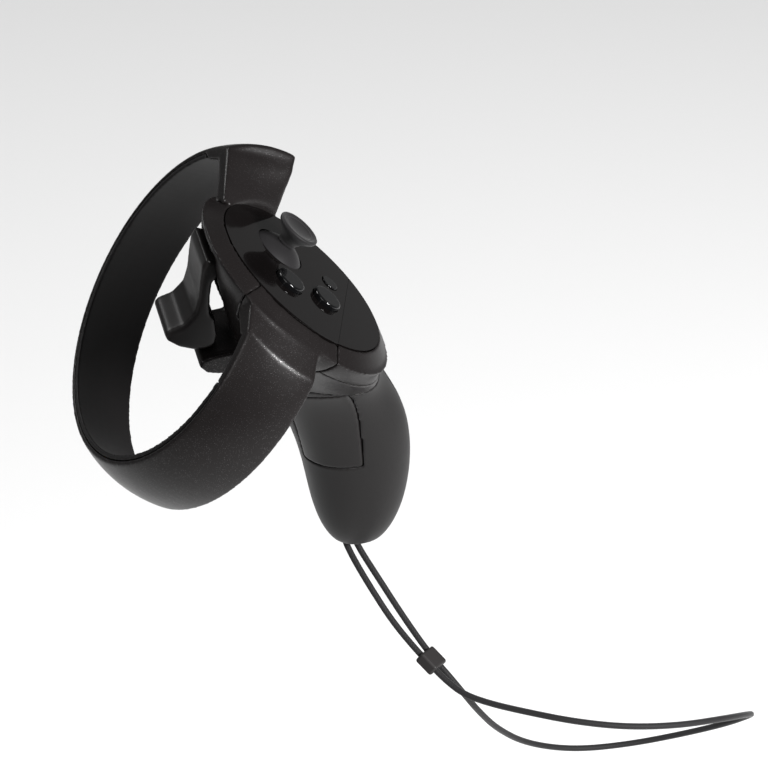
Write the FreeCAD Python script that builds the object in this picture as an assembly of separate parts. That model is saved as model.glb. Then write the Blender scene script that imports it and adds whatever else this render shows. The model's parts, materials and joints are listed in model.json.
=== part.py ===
import FreeCAD, Part
import math
import os

from FreeCAD import Placement, Rotation, Vector

# A ring-type motion controller for the right hand.
# Frame: +Z runs up the handle, +Y points forward, +X to the user's right.
# The origin is the centre of the grip.

# ---- driving dimensions, millimetres and degrees ----
PLATE_CENTRE = (0.0, 13.0, 62.0)      # centre of the round face plate
PLATE_TILT = 45.0                     # the plate's normal leans back by this much
PLATE_RADIUS = 30.4
PLATE_THICKNESS = 2.0
RIM_RADIUS = 36.0                     # crease below the sloping rim
RIM_DROP = 3.2
WALL = 2.0                            # handle and head casing
SEAM_FRONT = 41.7                     # rim seams, degrees from straight ahead
SEAM_REAR = 99.4

RING_CENTRE = (9.8, 22.7, -34.4)      # in the plate's frame
RING_PITCH = -5.6
RING_LIP_RADIUS = 50.3                # seam between the two shells on the front edge
RING_WIDTH = 24.0
RING_FRONT_INNER = 48.5
RING_FRONT_OUTER = 51.7
RING_REAR_INNER = 54.0
RING_REAR_OUTER = 58.2
RING_SHELL_WALL = 1.2
OUTER_BULGE = 2.1                     # how far the flared sides stand outside a straight line
INNER_BULGE = 0.6
INNER_SHELL_ENDS = (45.0, -80.0)      # the inner shell stops short of both roots
CORE_ENDS = (47.0, -82.0)             # and the hollow between the shells a little sooner
FLANK_FALL = 0.72                     # how steeply the left root falls away outside the rim
FLEX_THICKNESS = 0.25
FLEX_EDGES = (5.0, 12.0, 19.0)        # behind the front edge
FLEX_START = 52.0                     # degrees round the ring
FLEX_END = 275.0
RING_LEFT_END = -50.0                 # ends of the free band, degrees from the ring's top
RING_RIGHT_END = 33.0
SHOULDER_DEPTH = 14.0                 # how far the band's roots reach below the plate
REAR_SKIRT_DEPTH = 10.0               # the rear bezel's lower edge
SPLIT = (29.1, 0.26)                  # head and handle meet on the plane Z = 29.1 + 0.26 Y
LED_COUNT = 22

STICK_AXIS = (9.6, 6.5)               # in the plate's frame
STICK_PIVOT_DEPTH = 9.0
STICK_HEIGHT = 9.5
STICK_CAP_RADIUS = 7.0
STICK_WAIST_RADIUS = 3.0
STICK_DOME_RADIUS = 12.0
STICK_SHAFT_RADIUS = 1.4
SHAFT_FOOT = -2.8                     # above the pivot
SHAFT_TOP = 13.0
DOME_SKIRT = 4.6                      # how far above the pivot the dome ends
STICK_CASE = 16.0
CASE_CORNER_RADIUS = 10.3             # its corners stay inside the tilted dome
SLOT_GAP = 0.12                       # on each side of the shaft, in the arch's slot

BUTTON_RADIUS = 4.8
BUTTON_HEIGHT = 1.7
BUTTON_TRAVEL = 1.0
BUTTON_PLACES = {"button_b": (-9.0, 8.5), "button_a": (-7.0, -7.0)}
HOME_RADIUS = 2.8
HOME_HEIGHT = 0.4
HOME_PLACE = (6.0, -13.0)
FLANGE_EXTRA = 1.1
FLANGE_THICKNESS = 1.0

BOARD_DEPTH = 6.0                     # top of the face board below the plate's top
BOARD_THICKNESS = 1.2
BOARD_RADIUS = 27.0
BOARD_FRONT = 20.0
POST_PLACES = ((-15.0, 18.7), (-24.0, -1.0), (24.0, -3.0), (10.0, -19.0))
POST_RADIUS = 2.0
THUMB_SEAM = ((-29.9, -4.9), (20.0, -26.1))
MAIN_BOARD_DEPTH = 18.6
MAIN_BOARD_SIZE = (30.0, 30.0)

TRIGGER_PIVOT = (38.2, 77.4)          # Y, Z
TRIGGER_WIDTH = 18.0
TRIGGER_PIN_RADIUS = 1.0
TRIGGER_BOSS_RADIUS = 2.6
WELL_WALL = 1.2
GRIP_TRIGGER_TOP = 30.0
GRIP_TRIGGER_BOTTOM = -4.0
GRIP_TRIGGER_HALF_WIDTH = 9.5
GRIP_TRIGGER_FACING = 48.0            # degrees from straight ahead towards the left
GRIP_PIVOT_RADIUS = 15.0
GRIP_PIVOT_HEIGHT = 27.0
BRACKET_SINK = 1.0                    # keeps the bracket clear of the lever's back
GRIP_PIN_RADIUS = 0.8

CELL_RADIUS = 7.25
CELL_LENGTH = 50.5
CELL_AXIS = (2.4, 0.3)
CELL_BOTTOM = -31.5
TUBE_WALL = 0.9
COVER_TOP = 22.0
COVER_BOTTOM = -28.0
COVER_HALF_WIDTH = 9.0
COVER_MAGNETS = ((13.1, -5.4, -22.0), (13.6, -5.4, 16.0))   # the middle of each outer face
MAGNET_RADIUS = 1.6
MAGNET_LENGTH = 1.2
MAGNET_HOLE_LENGTH = 4.0              # the hole opens on the cover's inside

MOTOR_RADIUS = 4.0
MOTOR_LENGTH = 12.0

HANDLE_BOTTOM = -42.5
ANCHOR_RADIUS = 1.0
ANCHOR_PLACE = (5.0, HANDLE_BOTTOM + 6.0)  # Y, Z
CASE_SCREWS = ((11.8, -20.0), (-10.6, 8.0), (23.5, 26.0))
CASE_BOSS_RADIUS = 2.2
SCREW_RADIUS = 0.9
SCREW_HEAD_RADIUS = 1.6
CORD_DIAMETER = 2.1
SLIDER_SIZE = (8.0, 4.2, 7.0)
SLIDER_GAP = 0.4                      # round each strand
SLIDER_LEFT = 7                       # the cord's points where each strand passes the slider
SLIDER_RIGHT = 27

GAP = 0.25                            # running gap round moving pieces
PIN_GAP = 0.04                        # radial clearance of a pin in its hole
SEAT_GAP = 0.1                        # between pieces that are only put together

# Body sections from the rim down: front (Y, Z), back (Y, Z) and half width.
BODY_SECTIONS = (
    ((40.82, 85.32), (-10.32, 34.18), 36.17),
    ((41.4, 74.5), (-7.5, 29.8), 32.6),
    ((40.3, 62.0), (-8.2, 25.0), 27.0),
    ((37.5, 48.5), (-10.0, 20.0), 21.8),
    ((31.0, 33.0), (-13.0, 13.0), 18.2),
    ((23.5, 14.0), (-16.0, 4.0), 16.6),
    ((18.5, -6.0), (-17.2, -9.0), 16.0),
    ((16.2, -23.0), (-15.6, -24.0), 15.2),
    ((13.8, -36.0), (-11.8, -36.0), 13.2),
    ((11.0, HANDLE_BOTTOM), (-8.0, HANDLE_BOTTOM), 10.2),
)
# Roots of the ring, corners in the ring's frame (X, Z) at its front and rear edges.
LEFT_ROOT = (
    ((-37.8, 32.6), (-41.0, 28.6), (-43.8, 24.0), (-41.5, 22.6), (-33.5, 25.0), (-30.0, 34.0)),
    ((-42.6, 36.3), (-47.0, 31.2), (-51.4, 24.0), (-48.5, 22.0), (-40.0, 24.0), (-36.0, 38.0)),
)
RIGHT_ROOT = (
    ((38.6, 34.2), (33.6, 38.9), (29.3, 42.0), (26.2, 42.4), (22.8, 40.6), (10.6, 34.4), (10.6, 29.5),
     (17.0, 32.6), (24.0, 36.0), (29.0, 37.6), (34.6, 33.6)),
    ((44.4, 37.4), (39.2, 42.8), (34.4, 46.8), (30.6, 47.2), (27.6, 44.8), (20.0, 32.0), (17.0, 22.0),
     (22.0, 21.0), (29.0, 29.0), (35.0, 36.5), (40.0, 34.5)),
)
SECTION_POINTS = 16
SECTION_POWER = 2.2                   # a little squarer than an ellipse

# The lanyard's route: out of the handle, through the slider, round the wrist and back.
CORD_FOOT = -42.5                     # height of the handle's foot that these points are drawn from
CORD_POINTS = (
    (-0.5, 6.6, -37.5), (-0.5, 6.6, -42.0), (-3.8, 6.3, -46.0), (-9.5, 4.8, -49.6), (-17.5, 1.8, -55.0),
    (-26.6, -2.6, -62.6), (-34.6, -7.4, -68.2), (-40.2, -11.2, -71.8), (-46.0, -15.4, -75.6),
    (-51.4, -19.8, -77.8), (-57.4, -27.0, -78.2), (-64.5, -36.8, -77.8), (-72.2, -50.3, -78.5),
    (-76.9, -66.2, -81.1), (-76.8, -84.1, -85.9), (-71.3, -102.0, -93.5), (-62.0, -114.0, -104.5),
    (-51.4, -118.8, -117.0), (-41.9, -113.8, -129.5), (-35.0, -99.5, -137.6), (-30.6, -82.0, -141.7),
    (-29.7, -62.9, -139.3), (-32.4, -45.7, -128.2), (-38.2, -34.0, -111.5), (-43.4, -26.4, -95.5),
    (-44.9, -21.4, -84.5), (-42.6, -17.4, -77.6), (-37.2, -13.4, -72.9), (-31.4, -10.2, -68.8),
    (-23.0, -5.9, -62.1), (-14.0, -1.4, -54.2), (-7.0, 2.0, -48.4), (-2.6, 3.3, -45.2), (-0.5, 3.4, -42.0),
    (-0.5, 3.4, -37.5),
)

# Trigger outlines as (Y, Z).
WELL_OUTLINE = ((60.0, 90.0), (40.6, 82.4), (36.4, 81.2), (34.8, 77.0), (34.7, 47.2), (60.0, 46.0))
LIP_OUTLINE = (
    (34.0, 47.6), (44.5, 47.2), (48.2, 46.4), (48.9, 44.4), (46.8, 41.6), (40.0, 38.6), (34.0, 37.0),
)
LEVER_OUTLINE = (
    (38.6, 79.6), (42.9, 81.8), (44.6, 79.0), (45.6, 74.0), (46.6, 68.0), (48.4, 62.8), (52.0, 59.4),
    (56.6, 58.2), (57.9, 56.8), (57.2, 54.4), (54.0, 51.4), (49.6, 49.2), (45.6, 48.5), (43.0, 49.6),
    (42.0, 53.6), (42.2, 59.4), (43.6, 61.4), (43.0, 68.0), (42.0, 73.0), (39.4, 75.2),
)
MAGNET_START = (0.0, 46.5, 53.0)

OUT = "parts"


def v(x, y, z):
    return Vector(x, y, z)


PLATE = Placement(v(*PLATE_CENTRE), Rotation(v(1, 0, 0), PLATE_TILT))
RING = PLATE.multiply(Placement(v(*RING_CENTRE), Rotation(v(1, 0, 0), RING_PITCH)))
STICK = PLATE.multiply(Placement(v(STICK_AXIS[0], STICK_AXIS[1], -STICK_PIVOT_DEPTH), Rotation()))


# ---- small builders ----
def placed(shape, place):
    moved = shape.copy()
    moved.Placement = place.multiply(moved.Placement)
    return moved


def rod(radius, start, direction, length):
    return Part.makeCylinder(radius, length, v(*start), v(*direction))


def disc(radius, top, thickness, centre=(0.0, 0.0)):
    return rod(radius, (centre[0], centre[1], top - thickness), (0, 0, 1), thickness)


def block(low, high):
    size = [b - a for a, b in zip(low, high)]
    return Part.makeBox(size[0], size[1], size[2], v(*low))


def fuse(shapes):
    return shapes[0].copy().multiFuse([shape.copy() for shape in shapes[1:]]).removeSplitter()


def cut(shape, tools):
    """Boolean operations widen the tolerances of what they are given, so they work on copies."""
    return shape.copy().cut([tool.copy() for tool in tools])


def common(shape, tool):
    return shape.copy().common(tool.copy())


def largest(shape):
    return max(shape.Solids, key=lambda solid: solid.Volume)


def outline_yz(points, x_low, x_high):
    corners = [v(x_low, y, z) for y, z in points]
    face = Part.Face(Part.makePolygon(corners + corners[:1]))
    return face.extrude(v(x_high - x_low, 0, 0))


def turned(points, axis_point=(0, 0, 0), axis=(0, 0, 1), angle=360.0):
    corners = [v(*p) for p in points]
    face = Part.Face(Part.makePolygon(corners + corners[:1]))
    return face.revolve(v(*axis_point), v(*axis), angle)


def wedge(start, end, radius=80.0, low=-60.0, high=30.0):
    """A sector in the plate's frame, between two angles measured from straight ahead towards the right."""
    lead = math.radians(start)
    corners = [(0.0, 0.0, low), (radius * math.sin(lead), radius * math.cos(lead), low)]
    corners += [(corners[1][0], corners[1][1], high), (0.0, 0.0, high)]
    face = Part.Face(Part.makePolygon([v(*c) for c in corners + corners[:1]]))
    return face.revolve(v(0, 0, 0), v(0, 0, -1), end - start)


# ---- casing ----
def section(front, back, half_width, inset):
    """One closed cross-section of the body, shrunk by inset all round."""
    middle = [(a + b) / 2 for a, b in zip(front, back)]
    reach = math.dist(front, back) / 2
    ahead = [(a - b) / (2 * reach) for a, b in zip(front, back)]
    points = []
    for i in range(SECTION_POINTS):
        angle = 2 * math.pi * i / SECTION_POINTS
        side = math.copysign(abs(math.cos(angle)) ** (2 / SECTION_POWER), math.cos(angle))
        along = math.copysign(abs(math.sin(angle)) ** (2 / SECTION_POWER), math.sin(angle))
        along *= reach - inset
        y, z = [m + along * a for m, a in zip(middle, ahead)]
        points.append(v(side * (half_width - inset), y, z))
    curve = Part.BSplineCurve()
    curve.interpolate(Points=points, PeriodicFlag=True)
    return Part.Wire([curve.toShape()])


def body_loft(inset):
    wires = [section(front, back, width, inset) for front, back, width in BODY_SECTIONS]
    return Part.makeLoft(wires, True, False)


def rim_cone():
    return placed(Part.makeCone(RIM_RADIUS, PLATE_RADIUS + SEAT_GAP, RIM_DROP, v(0, 0, -RIM_DROP)), PLATE)


def casing_cavity():
    """Everything hollow inside the casing, with the seat for the face plate and a closed floor."""
    floor = block((-60, -60, HANDLE_BOTTOM - 20), (60, 60, HANDLE_BOTTOM + WALL))
    seat = placed(disc(PLATE_RADIUS + SEAT_GAP, 1.0, PLATE_THICKNESS + 1.0), PLATE)
    neck = placed(disc(PLATE_RADIUS - 2.2, 0.0, 12.0), PLATE)
    return cut(body_loft(WALL), [floor]).fuse([seat, neck])


def above_plate_depth(depth):
    """The space above a plane parallel to the plate and this far below its top."""
    return placed(block((-70, -70, -depth), (70, 70, 20)), PLATE)


def below_split(offset=0.0):
    """The space under the plane where the head meets the handle."""
    level, slope = SPLIT
    reach = 80.0
    corners = [(-reach, level - slope * reach - offset), (reach, level + slope * reach - offset)]
    corners += [(reach, -reach), (-reach, -reach)]
    return outline_yz(corners, -reach, reach)


def ring_flank_zone():
    """Where the casing's flanks belong to the ring instead of the head."""
    left = wedge(-SEAM_REAR, -SEAM_FRONT)
    right = wedge(SEAM_FRONT, SEAM_REAR)
    return common(placed(left.fuse(right), PLATE), above_plate_depth(SHOULDER_DEPTH))


def rear_zone():
    return common(placed(wedge(SEAM_REAR, 360 - SEAM_REAR), PLATE), above_plate_depth(REAR_SKIRT_DEPTH))


# ---- index trigger and its well ----


def well_space(margin):
    half = TRIGGER_WIDTH / 2 + margin
    return outline_yz(WELL_OUTLINE, -half, half)


def grown(points, amount):
    """The outline pushed outwards by the same amount on every edge."""
    wire = Part.makePolygon([v(0, y, z) for y, z in points + points[:1]])
    wide = Part.Face(wire).makeOffset2D(amount, 2)
    return wide.Faces[0]


def trigger_well():
    """The liner behind the lever, which also holds the lever's pin."""
    half = TRIGGER_WIDTH / 2 + GAP * 2
    outer_half = half + WELL_WALL
    face = grown(WELL_OUTLINE, WELL_WALL)
    face.translate(v(-outer_half, 0, 0))
    liner = cut(face.extrude(v(2 * outer_half, 0, 0)), [outline_yz(WELL_OUTLINE, -half, half)])
    under_plate = placed(block((-40, -40, -40), (40, 40, -PLATE_THICKNESS - SEAT_GAP)), PLATE)
    liner = common(common(liner, body_loft(WALL + SEAT_GAP)), under_plate)
    hole = rod(TRIGGER_PIN_RADIUS, (-outer_half - 1, *TRIGGER_PIVOT), (1, 0, 0), 2 * outer_half + 2)
    return largest(cut(liner, [hole]))


def head_shell(shell, hollow):
    """The casing's front, with the lip under the trigger."""
    half = TRIGGER_WIDTH / 2 + 2.5
    front = cut(shell, [below_split(), ring_flank_zone(), rear_zone(), well_space(GAP * 2), pin_room()])
    lip = cut(outline_yz(LIP_OUTLINE, -half, half), [hollow, below_split(), well_space(GAP * 2)])
    return largest(front.fuse(lip))


def index_trigger():
    half = TRIGGER_WIDTH / 2
    blade = outline_yz(LEVER_OUTLINE, -half, half)
    boss = rod(TRIGGER_BOSS_RADIUS, (-half, *TRIGGER_PIVOT), (1, 0, 0), TRIGGER_WIDTH)
    lever = fuse([blade, boss])
    hole = rod(TRIGGER_PIN_RADIUS + PIN_GAP, (-half - 1, *TRIGGER_PIVOT), (1, 0, 0), TRIGGER_WIDTH + 2)
    spring_room = rod(TRIGGER_BOSS_RADIUS + 1.2, (-3.0, *TRIGGER_PIVOT), (1, 0, 0), 6.0)
    magnet = rod(1.55, MAGNET_START, (0, 0, 1), 2.05)
    return largest(cut(lever, [hole, spring_room, magnet]))


def pin_room():
    """Clearance round the ends of the index trigger's pin."""
    half = TRIGGER_WIDTH / 2 + GAP * 2 + WELL_WALL + PIN_GAP
    return rod(TRIGGER_PIN_RADIUS + PIN_GAP, (-half, *TRIGGER_PIVOT), (1, 0, 0), 2 * half)


def index_trigger_pin():
    half = TRIGGER_WIDTH / 2 + GAP * 2 + WELL_WALL
    return rod(TRIGGER_PIN_RADIUS, (-half, *TRIGGER_PIVOT), (1, 0, 0), 2 * half)


def coil(radius, wire, pitch, height, place):
    """A round-wire helix about its own Z axis."""
    path = Part.Wire(Part.makeHelix(pitch, height, radius))
    profile = Part.Wire(Part.makeCircle(wire / 2, v(radius, 0, 0), v(0, 1, 0)))
    return placed(path.makePipeShell([profile], True, True), place)


def torsion_spring():
    place = Placement(v(-2.0, *TRIGGER_PIVOT), Rotation(v(0, 1, 0), 90))
    return coil(TRIGGER_PIN_RADIUS + 0.6, 0.45, 1.0, 4.0, place)


# ---- grip trigger ----
GRIP = Placement(v(0, 0, 0), Rotation(v(0, 0, 1), GRIP_TRIGGER_FACING))


def grip_block(low, high):
    """A box in the grip trigger's own frame: X across it, Y outwards, Z up."""
    return placed(block(low, high), GRIP)


def grip_opening(margin):
    half = GRIP_TRIGGER_HALF_WIDTH + margin
    return grip_block((-half, 6, GRIP_TRIGGER_BOTTOM - margin), (half, 45, GRIP_TRIGGER_TOP + margin))


def grip_rod(radius, half_length, margin=0.0):
    return placed(rod(radius + margin, (-half_length, GRIP_PIVOT_RADIUS, GRIP_PIVOT_HEIGHT), (1, 0, 0),
                      2 * half_length), GRIP)


def grip_trigger(outer):
    pad = common(cut(outer, [body_loft(WALL + 0.2)]), grip_opening(0.0))
    pad = largest(pad)
    lugs = []
    for side in (-1, 1):
        low = min(side * 5.0, side * 7.0)
        arm = grip_block((low, GRIP_PIVOT_RADIUS - 1.8, 25.0), (low + 2.0, 32, 29.0))
        lugs.append(common(arm, body_loft(1.0)))
    lever = fuse([pad] + lugs)
    post = common(grip_block((-2.5, 13.4, 2.0), (2.5, 24, 7.0)), body_loft(1.0))
    lever = fuse([lever, post])
    magnet = placed(rod(1.55, (0, 13.0, 4.5), (0, 1, 0), 2.05), GRIP)
    return largest(cut(lever, [grip_rod(GRIP_PIN_RADIUS, 12.0, PIN_GAP), magnet]))


def grip_bracket():
    low, high = 23.4, 30.6
    base = grip_block((-9.2, 10.6, low), (9.2, 11.8, high))
    cheeks = [grip_block((x, 10.6, low), (x + 1.2, GRIP_PIVOT_RADIUS + 1.8, high)) for x in (-9.2, 8.0)]
    foot = grip_block((-16.0, 10.6, low), (-9.2, 11.8, high))
    bracket = common(fuse([base, foot] + cheeks), body_loft(WALL + BRACKET_SINK))
    return largest(cut(bracket, [grip_rod(GRIP_PIN_RADIUS, 12.0)]))


def grip_spring():
    place = GRIP.multiply(Placement(v(-3.3, GRIP_PIVOT_RADIUS, GRIP_PIVOT_HEIGHT), Rotation(v(0, 1, 0), 90)))
    return coil(GRIP_PIN_RADIUS + 0.6, 0.45, 1.1, 6.6, place)


# ---- tracking ring ----
def arc_through(a, b, c):
    return Part.Arc(v(*a), v(*b), v(*c)).toShape()


def ring_solid(edges, start, end):
    """Turn a profile, drawn at the ring's top as (0, -behind, radius), from one angle to another."""
    face = Part.Face(Part.Wire(edges))
    face.rotate(v(0, 0, 0), v(0, 1, 0), start)
    return face.revolve(v(0, 0, 0), v(0, 1, 0), end - start)


def lines(*points):
    return [Part.makeLine(v(*a), v(*b)) for a, b in zip(points, points[1:])]


def ring_profile(inner_front, outer_front, inner_rear, outer_rear, inner_bulge, outer_bulge, front, rear):
    """Closed profile between two gentle arcs; bulge is how far each mid-point stands outside its chord."""
    middle = (front + rear) / 2
    inner_middle = (inner_front + inner_rear) / 2 + inner_bulge
    outer_middle = (outer_front + outer_rear) / 2 + outer_bulge
    outer = arc_through((0, -front, outer_front), (0, -middle, outer_middle), (0, -rear, outer_rear))
    inner = arc_through((0, -rear, inner_rear), (0, -middle, inner_middle), (0, -front, inner_front))
    back = lines((0, -rear, outer_rear), (0, -rear, inner_rear))
    nose = lines((0, -front, inner_front), (0, -front, outer_front))
    return [outer] + back + [inner] + nose


def full_band(start, end):
    edges = ring_profile(RING_FRONT_INNER, RING_FRONT_OUTER, RING_REAR_INNER, RING_REAR_OUTER,
                         INNER_BULGE, OUTER_BULGE, 0.0, RING_WIDTH)
    return ring_solid(edges, start, end)


def band_core(start, end):
    """The hollow between the two shells."""
    wall = RING_SHELL_WALL
    front = (RING_FRONT_INNER + wall, RING_FRONT_OUTER - wall)
    rear = (RING_REAR_INNER + wall, RING_REAR_OUTER - wall)
    edges = ring_profile(*front, *rear, INNER_BULGE, OUTER_BULGE, wall, RING_WIDTH - wall)
    return ring_solid(edges, start, end)


def inner_side(start, end, shift):
    """Everything on the inner side of the seam between the shells."""
    seam_rear = RING_REAR_INNER + RING_SHELL_WALL + 0.1
    lip = RING_LIP_RADIUS
    seam = ((5, lip), (0, lip), (-RING_SHELL_WALL, lip), (-6, lip + 1.9))
    seam += ((-RING_WIDTH + RING_SHELL_WALL, seam_rear), (-RING_WIDTH - 5, seam_rear))
    corners = [(0, 5, 20)] + [(0, y, z - shift) for y, z in seam] + [(0, -RING_WIDTH - 5, 20), (0, 5, 20)]
    return ring_solid(lines(*corners), start, end)


def root(corners):
    """A straight-sided solid between one polygon on the ring's front edge and one on its rear edge."""
    wires = []
    for behind, points in zip((0.0, RING_WIDTH), corners):
        loop = [v(x, -behind, z) for x, z in points]
        wires.append(Part.makePolygon(loop + loop[:1]))
    return placed(Part.makeLoft(wires, True, True), RING)


def above_rim():
    """The space above the plate and its sloping rim, falling away more steeply outside the rim."""
    reach = 70.0
    edge = PLATE_RADIUS + SEAT_GAP
    far = -RIM_DROP - FLANK_FALL * (reach - RIM_RADIUS)
    slope = ((edge, 0, 0), (RIM_RADIUS, 0, -RIM_DROP), (reach, 0, far))
    return turned(((0, 0, 0), *slope, (reach, 0, 40), (0, 0, 40)))


def right_side():
    return placed(block((0, -60, -80), (90, 60, 60)), PLATE)


def left_side():
    return placed(block((-90, -60, -80), (0, 60, 60)), PLATE)


def ring_pieces(outer, hollow, shell):
    """The ring's two shells: the outer one also carries the roots and the head's flanks."""
    end = 360 + RING_LEFT_END
    band = full_band(RING_RIGHT_END, end)
    core = band_core(CORE_ENDS[0], 360 + CORE_ENDS[1])
    inner_start, inner_end = INNER_SHELL_ENDS
    inner = cut(common(band, inner_side(inner_start, 360 + inner_end, SEAT_GAP)), [core])
    outer_band = placed(cut(band, [inner_side(inner_start - 0.1, 360.1 + inner_end, 0.0), core]), RING)
    flank = ring_flank_zone()
    foreign = cut(outer, [flank])
    plate_room = placed(disc(PLATE_RADIUS + SEAT_GAP, 40.0, 60.0), PLATE)
    above_left = common(placed(above_rim(), PLATE), left_side())
    left_root = cut(root(LEFT_ROOT), [foreign, hollow, plate_room, above_left])
    right_root = cut(root(RIGHT_ROOT), [foreign, hollow, plate_room, above_rim_behind_root()])
    sides = common(shell, flank)
    left_wall = common(sides, left_side())
    right_wall = cut(common(sides, right_side()), [right_root])
    band_here = cut(outer_band, [foreign, hollow, plate_room, above_left])
    whole = fuse([largest(band_here), largest(left_root), largest(right_root), left_wall, right_wall])
    inner_here = cut(placed(inner, RING), [foreign, hollow, left_root, right_root, left_wall, right_wall])
    return largest(whole), largest(inner_here)


def above_rim_behind_root():
    """On the right the rim keeps its slope only behind the ring's root."""
    behind = wedge(SEAM_REAR - 1.0, SEAM_REAR + 60.0, high=40.0)
    return placed(common(above_rim(), behind), PLATE)


def ring_wall_radius(behind):
    """Radius of the inner shell's outer side, this far behind the front edge."""
    share = behind / RING_WIDTH
    straight = RING_FRONT_INNER + (RING_REAR_INNER - RING_FRONT_INNER) * share
    return straight + INNER_BULGE * 4 * share * (1 - share) + RING_SHELL_WALL


def ring_circuit():
    low = [(0, -a, ring_wall_radius(a) + SEAT_GAP) for a in FLEX_EDGES]
    high = [(x, y, z + FLEX_THICKNESS) for x, y, z in low]
    edges = [arc_through(*low), *lines(low[-1], high[-1])]
    edges += [arc_through(*reversed(high)), *lines(high[0], low[0])]
    return placed(ring_solid(edges, FLEX_START, FLEX_END), RING)


def ring_emitters():
    middle = FLEX_EDGES[1]
    base = ring_wall_radius(middle) + SEAT_GAP + FLEX_THICKNESS
    made = []
    for i in range(LED_COUNT):
        lamp = block((-0.8, -middle - 0.5, base + 0.12), (0.8, -middle + 0.5, base + 0.85))
        lens = Part.makeSphere(0.45, v(0, -middle, base + 0.85))
        lamp = lamp.fuse(lens)
        share = (i + 0.5) / LED_COUNT
        lamp.rotate(v(0, 0, 0), v(0, 1, 0), FLEX_START + (FLEX_END - FLEX_START) * share)
        made.append(placed(lamp, RING))
    return Part.makeCompound(made)


# ---- face: plate, buttons, boards ----
def stick_socket(extra):
    return Part.makeSphere(STICK_DOME_RADIUS + extra, v(STICK_AXIS[0], STICK_AXIS[1], -STICK_PIVOT_DEPTH))


def behind_thumb_seam(shift):
    (ax, ay), (bx, by) = THUMB_SEAM
    slope = (by - ay) / (bx - ax)
    ends = [(x, ay + slope * (x - ax) - shift) for x in (-60, 60)]
    corners = ends + [(60, -90), (-60, -90)]
    face = Part.Face(Part.makePolygon([v(x, y, -10) for x, y in corners + corners[:1]]))
    return face.extrude(v(0, 0, 20))


def all_buttons():
    places = {name: (place, BUTTON_RADIUS, BUTTON_HEIGHT) for name, place in BUTTON_PLACES.items()}
    places["button_home"] = (HOME_PLACE, HOME_RADIUS, HOME_HEIGHT)
    return places


def face_pieces():
    plate = disc(PLATE_RADIUS, 0.0, PLATE_THICKNESS)
    rest = common(plate, behind_thumb_seam(SEAT_GAP))
    front = cut(plate, [behind_thumb_seam(0.0)])
    posts = [disc(POST_RADIUS, -PLATE_THICKNESS, BOARD_DEPTH - PLATE_THICKNESS, p) for p in POST_PLACES]
    front = fuse([front] + posts)
    holes = [stick_socket(GAP + 0.1)]
    holes += [disc(radius + GAP, 5, 10, place) for place, radius, _ in all_buttons().values()]
    holes += [disc(SCREW_RADIUS + PIN_GAP, -BOARD_DEPTH + 3.0, 4.0, p) for p in POST_PLACES]
    return placed(largest(cut(front, holes)), PLATE), placed(rest.Solids[0], PLATE)


def button(radius, height, place):
    cap = disc(radius, height, height + PLATE_THICKNESS + GAP + 0.6, place)
    edge = [e for e in cap.Edges if abs(e.BoundBox.ZMin - height) < 1e-6]
    cap = cap.makeFillet(min(0.6, height * 0.45), edge)
    flange = disc(radius + FLANGE_EXTRA, -PLATE_THICKNESS - GAP, FLANGE_THICKNESS, place)
    return placed(largest(cap.fuse(flange).removeSplitter()), PLATE)


def dome_top():
    """The rubber domes stand just below the pressed buttons."""
    return -PLATE_THICKNESS - GAP - FLANGE_THICKNESS - BUTTON_TRAVEL - 0.05


def button_membrane():
    sheet_top = -BOARD_DEPTH + 0.7
    pads = [disc(radius + 1.4, sheet_top, 0.7, place) for place, radius, _ in all_buttons().values()]
    (bx, by), (ax, ay) = BUTTON_PLACES["button_b"], BUTTON_PLACES["button_a"]
    strap = block((min(ax, bx) - 1.5, ay, -BOARD_DEPTH), (max(ax, bx) + 1.5, by, sheet_top))
    web = block((ax, HOME_PLACE[1], -BOARD_DEPTH), (HOME_PLACE[0], HOME_PLACE[1] + 3.0, sheet_top))
    domes = [disc(2.2, dome_top(), dome_top() + BOARD_DEPTH, place) for place, _, _ in all_buttons().values()]
    rooms = [disc(1.5, dome_top() - 0.35, 3.0, place) for place, _, _ in all_buttons().values()]
    posts = [disc(POST_RADIUS + GAP, 0, 12, p) for p in POST_PLACES]
    sheet = cut(fuse(pads + [strap, web] + domes), rooms + posts)
    return placed(largest(sheet), PLATE)


def face_board():
    board = disc(BOARD_RADIUS, -BOARD_DEPTH, BOARD_THICKNESS)
    front_cut = block((-14, BOARD_FRONT, -20), (14, 60, 20))
    stick_cut = disc(STICK_DOME_RADIUS + 0.6, 0, 30, STICK_AXIS)
    screws = [disc(SCREW_RADIUS + 0.1, 0, 30, p) for p in POST_PLACES]
    board = cut(board, [front_cut, stick_cut] + screws)
    return common(placed(largest(board), PLATE), body_loft(WALL + GAP))


def screw(start, direction, length):
    """A pan-head screw; start is the underside of its head and direction the way it is driven."""
    shank = rod(SCREW_RADIUS, start, direction, length)
    back = tuple(-d for d in direction)
    head = rod(SCREW_HEAD_RADIUS, start, back, 1.1)
    top = tuple(s + 1.1 * b for s, b in zip(start, back))
    slot = rod(0.55, top, direction, 0.6)
    return cut(head.fuse(shank), [slot]).removeSplitter()


def face_screws():
    under = -BOARD_DEPTH - BOARD_THICKNESS
    made = [placed(screw((x, y, under), (0, 0, 1), 3.6), PLATE) for x, y in POST_PLACES]
    return Part.makeCompound(made)


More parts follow.
